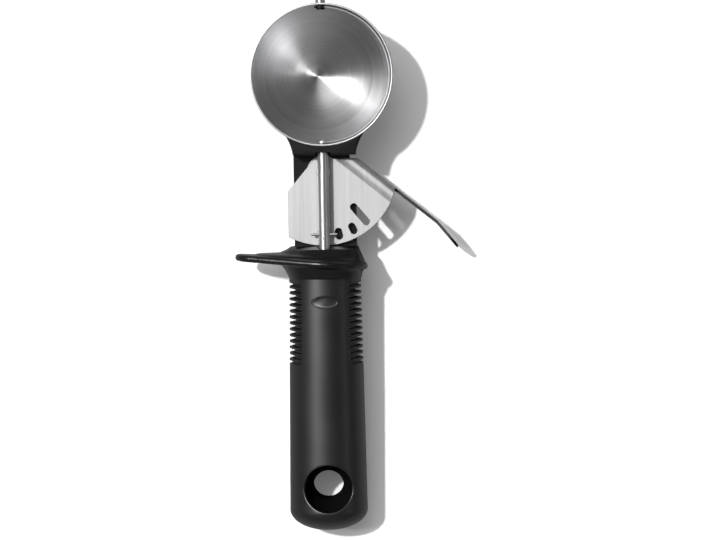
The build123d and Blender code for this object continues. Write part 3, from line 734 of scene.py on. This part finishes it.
def rivet_profile():
    """The lever's rivet: a formed end below, a stem and a low domed head."""
    low, high = corners("pivot_rivet")[:, 2]
    formed, stem, head = 3.0, 2.0, half_size("pivot_rivet")[0]
    return [(low, 0), (low, formed - 0.3), (low + 0.3, formed), (low + 1.2, formed),
            (low + 1.2, stem), (high - 0.6, stem), (high - 0.6, head), (high - 0.35, head),
            (high - 0.15, head * 0.93), (high - 0.05, head * 0.75), (high, head * 0.45), (high, 0)]


class SCOOP_OT_drive(bpy.types.Operator):
    """Turn the drive line: shaft, cross pins, far stud, bushes and the lever's rivet"""
    bl_idname = "scoop.drive"
    bl_label = "Make Drive Line"

    def execute(self, context):
        shaft = turned("shaft_bar", shaft_profile(context.scene.scoop_drive.edge / MM), DRIVE_LINE,
                       (0, 1, 0))
        dress(shaft, "drive_shaft", "swiper_drive", "drawn_steel")
        for node, axis in (("cross_pin_front", (1, 0, 0)), ("cross_pin_rear", (0, 0, 1))):
            pin = turned(node + "_bar", pin_profile(node), middle(node), axis, steps=32)
            dress(pin, node, "swiper_drive", "drawn_steel")
        # The stud's end inside the far wall gets a painted shade from its steel.
        stud = turned("tip_stud", stud_profile(), DRIVE_LINE, (0, 1, 0), steps=48)
        dress(stud, "tip_pivot", "frame", "stud_steel")
        rivet = turned("rivet_bar", rivet_profile(), PIVOT * (1, 1, 0), (0, 0, 1), steps=64)
        dress(rivet, "pivot_rivet", "frame", "drawn_steel")
        for node in ("front_bush", "rear_bush"):
            sleeve = put_object(welded(node, node + "_sleeve"))
            dress(sleeve, node, "frame", "bush_acetal")
        return {"FINISHED"}


class SCOOP_OT_fasteners(bpy.types.Operator):
    """Finish the small fasteners, washers and the return spring"""
    bl_idname = "scoop.fasteners"
    bl_label = "Finish Fasteners"

    def execute(self, context):
        for node in ("tang_screws", "core_screws", "guard_pins", "rivet_washer", "thrust_washer",
                     "return_spring"):
            finish_node(node, "zinc_steel")
        # The tip washer takes the stud's steel, with its painted shade inside the far wall.
        finish_node("tip_washer", "stud_steel")
        return {"FINISHED"}


# -------- thumb lever


# The lever's directions along its fold, out to the thumb, and across it, away from the rivet.
FOLD_LEAN = math.radians(38.8)
FOLD_OUT = np.array([math.cos(FOLD_LEAN), -math.sin(FOLD_LEAN), 0.0])
FOLD_ACROSS = np.array([math.sin(FOLD_LEAN), math.cos(FOLD_LEAN), 0.0])
CREASE = 7.2  # from the rivet across to the crease
FOLD_START, FOLD_END, FOLD_STRIPS = 0.3, 6.3, 20  # from the crease, cut into strips
FOLD_WAVE = ((0.0, 1.8, -0.16), (2.0, 4.2, 0.36), (4.4, 6.4, -0.34))  # start, end and rise
WAVE_END, WAVE_FADE = 31.5, 2.5  # how far out the wave ends, and over how much it fades
ARM_START, ARM_SIDE = 28.3, 8.5  # how far out and across the thumb arm starts
BROAD_FACE = 0.95  # the least part across the fold of a broad face's normal


def press_fold(mesh):
    """Presses a soft wave into the sheet along its fold, which is cut into strips. Each point rises
    by a sum of smooth steps of its distance from the crease: a dip next to it, a rise to a flat
    crown and a fall to the edge. The wave fades out where the thumb arm leaves."""
    crease = PIVOT @ FOLD_ACROSS + CREASE
    with edited(mesh) as work:
        for offset in np.linspace(FOLD_START, FOLD_END, FOLD_STRIPS + 1):
            bmesh.ops.bisect_plane(work, geom=[*work.verts, *work.edges, *work.faces], dist=1e-7,
                                   plane_co=FOLD_ACROSS * (crease + offset) * MM,
                                   plane_no=FOLD_ACROSS)
    place = values_of(mesh.vertices, "co") / MM
    offset = place @ FOLD_ACROSS - crease
    wave = sum(rise * eased(offset, start, end) for start, end, rise in FOLD_WAVE)
    place[:, 2] += wave * np.clip((WAVE_END - (place - PIVOT) @ FOLD_OUT) / WAVE_FADE, 0, 1)
    mesh.vertices.foreach_set("co", (place * MM).astype(np.float32).ravel())
    mesh.update()


class SCOOP_OT_lever(bpy.types.Operator):
    """Dress the pressed thumb lever: one folded sheet with broken edges"""
    bl_idname = "scoop.lever"
    bl_label = "Make Thumb Lever"

    def execute(self, context):
        settings = context.scene.scoop_lever
        mesh = welded("thumb_lever", "lever_sheet")
        press_fold(mesh)
        place = corner_places(mesh)
        set_uv(mesh, "sheet", place @ np.array([[1, 0], [0, 1], [0.35, 0.35]]))
        sheet = put_object(mesh, 16)
        if settings.edge:
            modify(sheet, "broken_edges", "BEVEL", width=settings.edge, segments=2,
                   limit_method="ANGLE", angle_limit=math.radians(40), use_clamp_overlap=False)
            modify(sheet, "even_shading", "WEIGHTED_NORMAL", keep_sharp=True)
            apply_modifiers(sheet)
        dress(sheet, "thumb_lever", "lever", "satin_steel")
        centre, normal = face_places(sheet.data)
        reach = centre - PIVOT
        # The arm's cut edges get dull steel whose near black colour is a painted shade.
        arm = (reach @ FOLD_OUT > ARM_START) & (reach @ FOLD_ACROSS > ARM_SIDE)
        cut_edge = np.abs(normal @ FOLD_ACROSS) < BROAD_FACE
        second_material(sheet, arm & cut_edge, "sheared_steel_painted_shade")
        return {"FINISHED"}


# -------- neck and guard


class SCOOP_OT_neck(bpy.types.Operator):
    """Dress the moulded neck and guard"""
    bl_idname = "scoop.neck"
    bl_label = "Make Neck And Guard"

    def execute(self, context):
        neck = put_object(welded("neck_frame", "neck_moulding"), 30)
        dress(neck, "neck_frame", "frame", "matte_plastic")
        guard = put_object(welded("guard", "guard_moulding", 0), 180)
        modify(guard, "skin", "REMESH", mode="VOXEL", voxel_size=context.scene.scoop_neck.voxel,
               use_smooth_shade=True)
        modify(guard, "relaxed", "SMOOTH", factor=0.5, iterations=6)
        apply_modifiers(guard)
        dress(guard, "guard", "frame", "matte_plastic")
        finish_node("handle_core", "core_plastic")
        return {"FINISHED"}


# -------- grip


# The butt's dome, the half widths and height, the first fin and where the flanks start.
DOME_START, DOME_LENGTH = -10.0, 9.0
REAR_HALF, FRONT_HALF, CROWN = 16.5, 15.2, 14.0
FIRST_FIN = 54.3
FLANK_START = 0.63
# The radii of the hang hole, its mouth and the core's room, and the badge's place and halves.
HOLE, FUNNEL_MOUTH, CORE_ROOM = 6.45, 10.0, 9.05
BADGE_Y, BADGE_LONG, BADGE_SHORT = 78.9, 5.4, 2.6
# The share of the grooves' depth, by the number of fins from the first.
FADE_AT = (-0.75, -0.5, 0.5, 5, 10.5, 11.5, 12.5, 12.75)
FADE = (0, 0.45, 0.72, 0.88, 1, 0.9, 0.5, 0)


def half_width(y, front):
    """Half of the grip's width at y: even over the dome, then a straight taper to the front."""
    share = (np.maximum(y, DOME_START) - DOME_START) / (front - DOME_START)
    return REAR_HALF + share * (FRONT_HALF - REAR_HALF)


def ovals(half, squeeze, crown, y, angle):
    """Rows of points round the grip: half width times cosine, y, and crown times sine, with each
    row drawn in by its squeeze."""
    return np.stack([(half * squeeze)[:, None] * np.cos(angle),
                     np.broadcast_to(y[:, None], (len(y), len(angle))),
                     (crown * squeeze)[:, None] * np.sin(angle)], axis=2)


def grip_skin(settings):
    """The sleeve as one grid. Its rows are ovals from the butt's pole along the outside, over the
    front end, and back inside to the inner pole. Along the fins, each point on the flanks goes in
    by the groove's depth times a wave along the grip, its fade, and a step and a ramp across it."""
    front = corners("grip_sleeve")[1, 1]
    wall, pitch, depth = settings.wall / MM, settings.fin_pitch / MM, settings.fin_depth / MM
    dome_steps, plain_steps, fin_steps, bare_steps = 26, 52, 15, 6
    inner_steps, round_steps = 14, 240
    groove_start, groove_end, step_width = 0.13, 0.43, 0.16
    last = FIRST_FIN + settings.fins * pitch
    turn = np.radians(np.linspace(90, 0, dome_steps))
    side = np.concatenate([
        np.linspace(DOME_START, FIRST_FIN - pitch, plain_steps)[1:],
        np.linspace(FIRST_FIN - pitch, last, fin_steps * (settings.fins + 1))[1:],
        np.linspace(last, front, bare_steps)[1:]])
    y = np.concatenate([DOME_START - DOME_LENGTH * np.sin(turn), side])
    squeeze = np.concatenate([np.cos(turn), np.ones(len(side))])
    half = half_width(y, front)
    angle = np.linspace(0, 2 * np.pi, round_steps, endpoint=False)
    across, up = np.cos(angle), np.sin(angle)
    lean = np.stack([across * CROWN, up * half.mean()], axis=1)
    lean /= np.linalg.norm(lean, axis=1)[:, None]
    flank = np.clip((np.abs(across) - FLANK_START) / (1 - FLANK_START), 0, 1)
    fin = (y[:, None] + 0.5 * (1 - flank) - FIRST_FIN) / pitch
    wave = eased(np.abs(fin - np.round(fin)), groove_start, groove_end)
    wave *= np.interp(fin, FADE_AT, FADE)
    drawn = depth * wave * eased(flank, 0, step_width) * (0.4 + 0.6 * flank)
    outside = ovals(half, squeeze, CROWN, y, angle)
    outside[:, :, ::2] -= drawn[:, :, None] * lean
    in_turn = np.radians(np.linspace(0, 90, 12))[1:]
    in_y = np.concatenate([np.linspace(front, DOME_START, inner_steps),
                           DOME_START - (DOME_LENGTH - wall) * np.sin(in_turn)])
    in_squeeze = np.concatenate([np.ones(inner_steps), np.cos(in_turn)])
    inside = ovals(half_width(in_y, front) - wall, in_squeeze, CROWN - wall, in_y, angle)
    return closed_mesh("grip_rubber", np.concatenate([outside, inside], axis=0))


def hole_cutter(settings):
    """The shape taken out for the hang hole: a straight land, a cone and a wall. Over the wall a
    rounded lip follows the oval top: at each angle its arc touches the wall and the top's slope."""
    half, lip = 16.4, settings.lip_round / MM
    below, above, run_out, short_of_slope = -20.0, 22.0, 3, np.radians(10)
    angle = np.linspace(0, 2 * np.pi, 160, endpoint=False)
    x = FUNNEL_MOUTH * np.cos(angle)
    edge = CROWN * np.sqrt(1 - (x / half) ** 2)
    slope = np.arctan(CROWN**2 * np.abs(x) / (half**2 * edge) * np.abs(np.cos(angle)))
    centre = edge - lip * np.tan(slope) - lip / np.cos(slope)
    rows = [(0, below), (CORE_ROOM, below), (CORE_ROOM, 0), (HOLE, 0), (HOLE, 0.5),
            (HOLE + 0.12, 0.9), (FUNNEL_MOUTH - 0.25, 7.6), (FUNNEL_MOUTH, 8.2)]
    sweep = np.pi / 2 + slope - short_of_slope
    for share in np.linspace(0, 1, 9):
        rows.append((FUNNEL_MOUTH + lip - lip * np.cos(share * sweep),
                     centre + lip * np.sin(share * sweep)))
    out_r = rows[-1][0] + run_out * np.sin(sweep)
    rows += [(out_r, rows[-1][1] + run_out * np.cos(sweep)), (out_r, above), (0, above)]
    points = np.stack([np.stack([r * np.cos(angle), r * np.sin(angle), z + 0 * angle], axis=1)
                       for r, z in rows])
    return closed_mesh("hole_cutter", points)


def badge_mesh():
    """A blank oval badge: rings of an oval laid on the grip's top, each at its own height, with a
    raised rim and a shallow dish inside."""
    half = 15.35
    rings = np.array([(1.10, -0.5), (1.09, 0.05), (1.05, 0.27), (1.0, 0.34), (0.95, 0.30),
                      (0.90, 0.16), (0.86, 0.10), (0.5, 0.10), (0.0, 0.10)])
    angle = np.linspace(0, 2 * np.pi, 120, endpoint=False)
    x = rings[:, 0, None] * BADGE_LONG * np.cos(angle)
    y = BADGE_Y + rings[:, 0, None] * BADGE_SHORT * np.sin(angle)
    z = CROWN * np.sqrt(1 - (x / half) ** 2) + rings[:, 1, None]
    return closed_mesh("grip_badge", np.stack([x, y, z], axis=2)[::-1])


class SCOOP_OT_grip(bpy.types.Operator):
    """Mould the soft grip: finned flanks, a hang hole with a rounded lip and a blank oval badge"""
    bl_idname = "scoop.grip"
    bl_label = "Make Grip"

    def execute(self, context):
        settings = context.scene.scoop_grip
        grip = put_object(grip_skin(settings), 60)
        cutter = put_object(hole_cutter(settings))
        modify(grip, "hang_hole", "BOOLEAN", operation="DIFFERENCE", solver="EXACT", object=cutter)
        apply_modifiers(grip)
        bpy.data.objects.remove(cutter)
        if len(grip.data.polygons) < 10000:
            raise RuntimeError("the grip lost its skin when its hole was cut")
        smoothed(grip.data, 40)
        dress(grip, "grip_sleeve", "frame", "soft_rubber")
        badge = put_object(badge_mesh())
        badge.data.materials.append(material("soft_rubber"))
        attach(badge, "frame")
        return {"FINISHED"}


# -------- stage


FLOOR_LEAN = 0.0552


def floor_frame():
    """The floor's right and forward directions and its normal: it leans so that the scoop rests on
    its butt and on the bowl."""
    return (Vector((1.0, 0.0, 0.0)), Vector((0.0, 1.0, -FLOOR_LEAN)).normalized(),
            Vector((0.0, FLOOR_LEAN, 1.0)).normalized())


def from_floor(parts):
    """The unit direction with the given parts along the floor's axes."""
    return sum((axis * part for axis, part in zip(floor_frame(), parts)), Vector()).normalized()


def seen_rays(tree):
    """A mask of the rays that look at a thing, straight or through something clear."""
    path = add_node(tree, "ShaderNodeLightPath").outputs
    return number(tree, "MAXIMUM", path["Is Camera Ray"], path["Is Transmission Ray"])


def grey(level):
    """A grey as a colour."""
    return (level, level, level, 1.0)


def make_floor(settings):
    """A wide plain floor that keeps the shadows, its white lifted for the rays that show it."""
    right, forward, _ = floor_frame()
    contact, lift = Vector((0.0, -8.0, -14.05)), 0.09
    reach = np.linspace(-4.0, 4.0, 9) / MM  # 4 metres to each side
    u, v = np.meshgrid(reach, reach, indexing="ij")
    points = np.array(contact) + u[:, :, None] * np.array(right) + v[:, :, None] * np.array(forward)
    floor = put_object(grid_mesh("studio_floor", points, wrap_columns=False))
    finish = bpy.data.materials.new("plain_floor")
    tree = clean_tree(finish)
    glossy = add_node(tree, "ShaderNodeLightPath").outputs["Is Glossy Ray"]
    mirrored = [part * settings.mirrored for part in settings.floor]
    shade = colour_mix(tree, glossy, (*settings.floor, 1.0), (*mirrored, 1.0))
    matte = add_node(tree, "ShaderNodeBsdfDiffuse", {"Color": shade})
    glow = add_node(tree, "ShaderNodeEmission",
                    {"Strength": number(tree, "MULTIPLY", seen_rays(tree), lift)})
    both = add_node(tree, "ShaderNodeAddShader", {0: matte.outputs[0], 1: glow.outputs[0]})
    add_node(tree, "ShaderNodeOutputMaterial", {"Surface": both.outputs[0]})
    floor.data.materials.append(finish)


def make_world():
    """The room: grey by its height over the floor and darker to the right, with a soft bright panel
    over the scoop, and white where it is looked at."""
    world = bpy.data.worlds.new("studio_room")
    bpy.context.scene.world = world
    tree = clean_tree(world)
    right, _, up = floor_frame()
    ray = add_node(tree, "ShaderNodeTexCoord").outputs["Generated"]
    room = add_node(tree, "ShaderNodeValToRGB",
                    {"Fac": vector(tree, "DOT_PRODUCT", ray, up)})
    stops = room.color_ramp.elements
    stops[0].color, stops[1].color = grey(0.14), grey(0.11)
    for height, level in ((0.35, 0.25), (0.6, 0.275), (0.88, 0.16)):  # the sine of the height
        stops.new(height).color = grey(level)
    to_right = vector(tree, "DOT_PRODUCT", ray, right)
    shaded = vector(tree, "MULTIPLY", room.outputs["Color"],
                    spread(tree, to_right, -0.1, 0.7, 1.0, 0.65))
    to_panel = vector(tree, "DOT_PRODUCT", ray, from_floor((-0.22, 0.46, 1.0)))
    lit = vector(tree, "ADD", shaded, spread(tree, to_panel, 0.90, 0.985, 0.0, 1.9, soft=True))
    wall = add_node(tree, "ShaderNodeBackground", {"Color": lit})
    white = add_node(tree, "ShaderNodeBackground", {"Color": grey(1.0)})
    both = add_node(tree, "ShaderNodeMixShader",
                    {0: seen_rays(tree), 1: wall.outputs[0], 2: white.outputs[0]})
    add_node(tree, "ShaderNodeOutputWorld", {"Surface": both.outputs[0]})


def sun_lamp(name, direction, strength, width):
    """A lamp that shines from a direction on the floor's axes, as wide as an angle in degrees."""
    towards = from_floor(direction)
    lamp = add_object(name, bpy.data.lights.new(name, "SUN"))
    lamp.data.energy = strength
    lamp.data.angle = math.radians(width)
    lamp.rotation_mode = "QUATERNION"
    lamp.rotation_quaternion = towards.to_track_quat("Z", "Y")
    lamp.location = towards * 2.0


def make_camera():
    """A long lens that looks straight down on the floor, turned a little about that line."""
    right, forward, up = floor_frame()
    aim, distance, roll = Vector((13.97, 91.52, 0.0)) * MM, 1.1145, -0.0164
    side = math.cos(roll) * right + math.sin(roll) * forward
    top = math.cos(roll) * forward - math.sin(roll) * right
    lens = bpy.data.cameras.new("camera")
    lens.sensor_width = 36.0
    lens.lens = 132.2
    lens.clip_start, lens.clip_end = 0.05, 30.0
    camera = add_object("camera", lens)
    camera.matrix_world = (Matrix.Translation(aim + up * distance)
                           @ Matrix((side, top, up)).transposed().to_4x4())
    bpy.context.scene.camera = camera


class SCOOP_OT_stage(bpy.types.Operator):
    """Lay the floor, light it softly from the upper left and set the camera"""
    bl_idname = "scoop.stage"
    bl_label = "Make Stage"

    def execute(self, context):
        settings = context.scene.scoop_stage
        make_floor(settings)
        make_world()
        sun_lamp("key_lamp", (-0.457, 0.2585, 1.0), settings.key, 2.5)
        sun_lamp("left_lamp", (-0.7, 0.10, 1.0), settings.left, 5)
        sun_lamp("right_lamp", (1.0, -0.14, 0.75), settings.right, 8)
        make_camera()
        context.scene.view_settings.view_transform = "Standard"
        return {"FINISHED"}


# -------- add-on


OPERATORS = (SCOOP_OT_stage, SCOOP_OT_bowl, SCOOP_OT_swiper, SCOOP_OT_drive, SCOOP_OT_fasteners,
             SCOOP_OT_lever, SCOOP_OT_neck, SCOOP_OT_grip)
SETTINGS = {
    "scoop_bowl": ScoopBowlSettings,
    "scoop_swiper": ScoopSwiperSettings,
    "scoop_lever": ScoopLeverSettings,
    "scoop_drive": ScoopDriveSettings,
    "scoop_grip": ScoopGripSettings,
    "scoop_neck": ScoopNeckSettings,
    "scoop_stage": ScoopStageSettings,
}


class SCOOP_PT_maker(bpy.types.Panel):
    """Lists the settings and the makers of the scoop's pieces"""
    bl_idname = "SCOOP_PT_maker"
    bl_label = "Lever Scoop"
    bl_space_type = "VIEW_3D"
    bl_region_type = "UI"
    bl_category = "Scoop"

    def draw(self, context):
        layout = self.layout
        for name, kind in SETTINGS.items():
            box = layout.box()
            box.label(text=name.replace("_", " ").title())
            for key in kind.__annotations__:
                box.prop(getattr(context.scene, name), key)
        for operator in OPERATORS:
            layout.operator(operator.bl_idname)


def register():
    """Registers the settings, the operators and the panel."""
    for name, kind in SETTINGS.items():
        bpy.utils.register_class(kind)
        setattr(bpy.types.Scene, name, bpy.props.PointerProperty(type=kind))
    for kind in (*OPERATORS, SCOOP_PT_maker):
        bpy.utils.register_class(kind)


def unregister():
    """Takes the panel, the operators and the settings away again."""
    for kind in (SCOOP_PT_maker, *reversed(OPERATORS)):
        bpy.utils.unregister_class(kind)
    for name, kind in reversed(SETTINGS.items()):
        delattr(bpy.types.Scene, name)
        bpy.utils.unregister_class(kind)


def main():
    """Makes every piece and the stage."""
    register()
    bpy.ops.scoop.stage()
    bpy.ops.scoop.bowl()
    bpy.ops.scoop.swiper()
    bpy.ops.scoop.drive()
    bpy.ops.scoop.fasteners()
    bpy.ops.scoop.lever()
    bpy.ops.scoop.neck()
    bpy.ops.scoop.grip()


if __name__ == "__main__":
    main()
